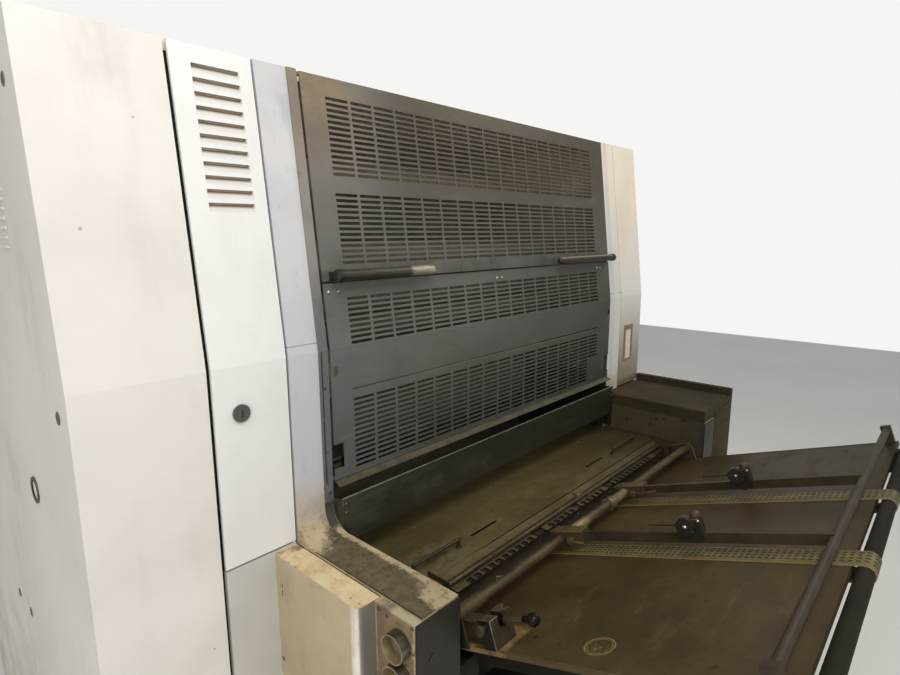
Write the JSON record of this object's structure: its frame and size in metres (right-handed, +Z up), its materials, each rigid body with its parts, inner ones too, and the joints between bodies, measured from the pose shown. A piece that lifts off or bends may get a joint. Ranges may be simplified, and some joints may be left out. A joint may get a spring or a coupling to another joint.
{
  "type": "first printing unit of a sheet-fed offset printing press with its feed board",
  "caption": "First unit of a sheet-fed offset press: slotted guards between cast side frames, white housings, infeed table and sloping feed board.",
  "frame": {"origin": "on the floor under the lower front plane of the unit, midway between the side frames", "axes": "+X across the press to its drive side, +Y along the way of the sheet into the unit, +Z up"},
  "size_m": [2.295, 2.358, 2.09],
  "materials": {
    "white_paint": "semi-gloss white paint, dusty",
    "cream_paint": "worn cream paint",
    "frame_paint": "white paint, worn to brown metal on the arms",
    "guard_grey": "satin dark grey paint",
    "dark_plate": "dark grey paint, oily",
    "cast_bed": "dark cast iron, oily",
    "port_plate": "beige paint, dusty",
    "stub_metal": "dull metal",
    "oily_plate": "oily, greenish brown steel",
    "board_skin": "oily brown steel",
    "shaft_steel": "stained ground steel",
    "black_steel": "black, worn",
    "tape_fabric": "perforated woven tape",
    "lock_plastic": "black plastic",
    "lever_black": "black lever with a glossy ball",
    "fountain_paint": "dark grey paint",
    "roller_rubber": "dark rubber"
  },
  "bodies": {
    "unit": {"base_bed": "cast_bed", "left_side_frame": "frame_paint", "right_side_frame": "frame_paint", "roof_covers": "white_paint", "aprons": "dark_plate", "guard_channel": "guard_grey", "rear_guards": "guard_grey", "front_plate": "dark_plate", "left_housing_core": "white_paint", "left_kick_panel": "white_paint", "left_outer_cover": "white_paint", "left_side_panels": "white_paint", "right_housing_core": "white_paint", "right_front_cover": "cream_paint", "right_side_panels": "white_paint", "rear_covers": "white_paint", "left_arm_cover": "cream_paint", "air_port_plate": "port_plate", "air_stubs": "stub_metal", "arm_end_plates": "dark_plate", "drive_box": "dark_plate", "infeed_plate": "oily_plate", "lifting_handles": "black_steel", "lip_tube": "shaft_steel", "comb_plates": "shaft_steel", "cross_beam": "cast_bed", "cross_shaft": "shaft_steel", "bar_clamps": "black_steel", "guide_bars": "black_steel", "wheel_carriages": "black_steel", "feed_board": "board_skin", "board_rails": "cast_bed", "arm_brackets": "cast_bed", "suction_tapes": "tape_fabric", "board_rollers": "shaft_steel", "lever_bracket": "cast_bed", "plate_cylinder": "shaft_steel", "blanket_cylinder": "roller_rubber", "impression_cylinder": "shaft_steel", "ink_rollers": "roller_rubber", "ink_fountain": "fountain_paint"},
    "upper_guard": {"upper_guard": "guard_grey", "guard_handles": "black_steel"},
    "lower_guard": {"lower_guard": "guard_grey"},
    "left_door": {"left_door": "white_paint"},
    "door_lock": {"door_lock": "lock_plastic"},
    "ball_lever": {"ball_lever": "lever_black"}
  },
  "joints": [
    {"name": "upper_guard_hinge", "type": "hinge", "parent": "unit", "child": "upper_guard", "pos_m": [0, 0.07632, 2.081], "axis": [-1, 0, 0], "range_deg": [0, 95]},
    {"name": "lower_guard_hinge", "type": "hinge", "parent": "unit", "child": "lower_guard", "pos_m": [0, 0, 1.125], "axis": [1, 0, 0], "range_deg": [0, 75]},
    {"name": "left_door_hinge", "type": "hinge", "parent": "unit", "child": "left_door", "pos_m": [-0.8295, 0.0035, 1.008], "axis": [0, 0, 1], "range_deg": [0, 100]},
    {"name": "door_lock_turn", "type": "hinge", "parent": "left_door", "child": "door_lock", "pos_m": [-0.94, 0, 1.349], "axis": [0, 1, 0], "range_deg": [0, 90]},
    {"name": "ball_lever_pivot", "type": "hinge", "parent": "unit", "child": "ball_lever", "pos_m": [-0.657, -0.46603, 0.93696], "axis": [-1, 0, 0], "range_deg": [0, 70]}
  ]
}
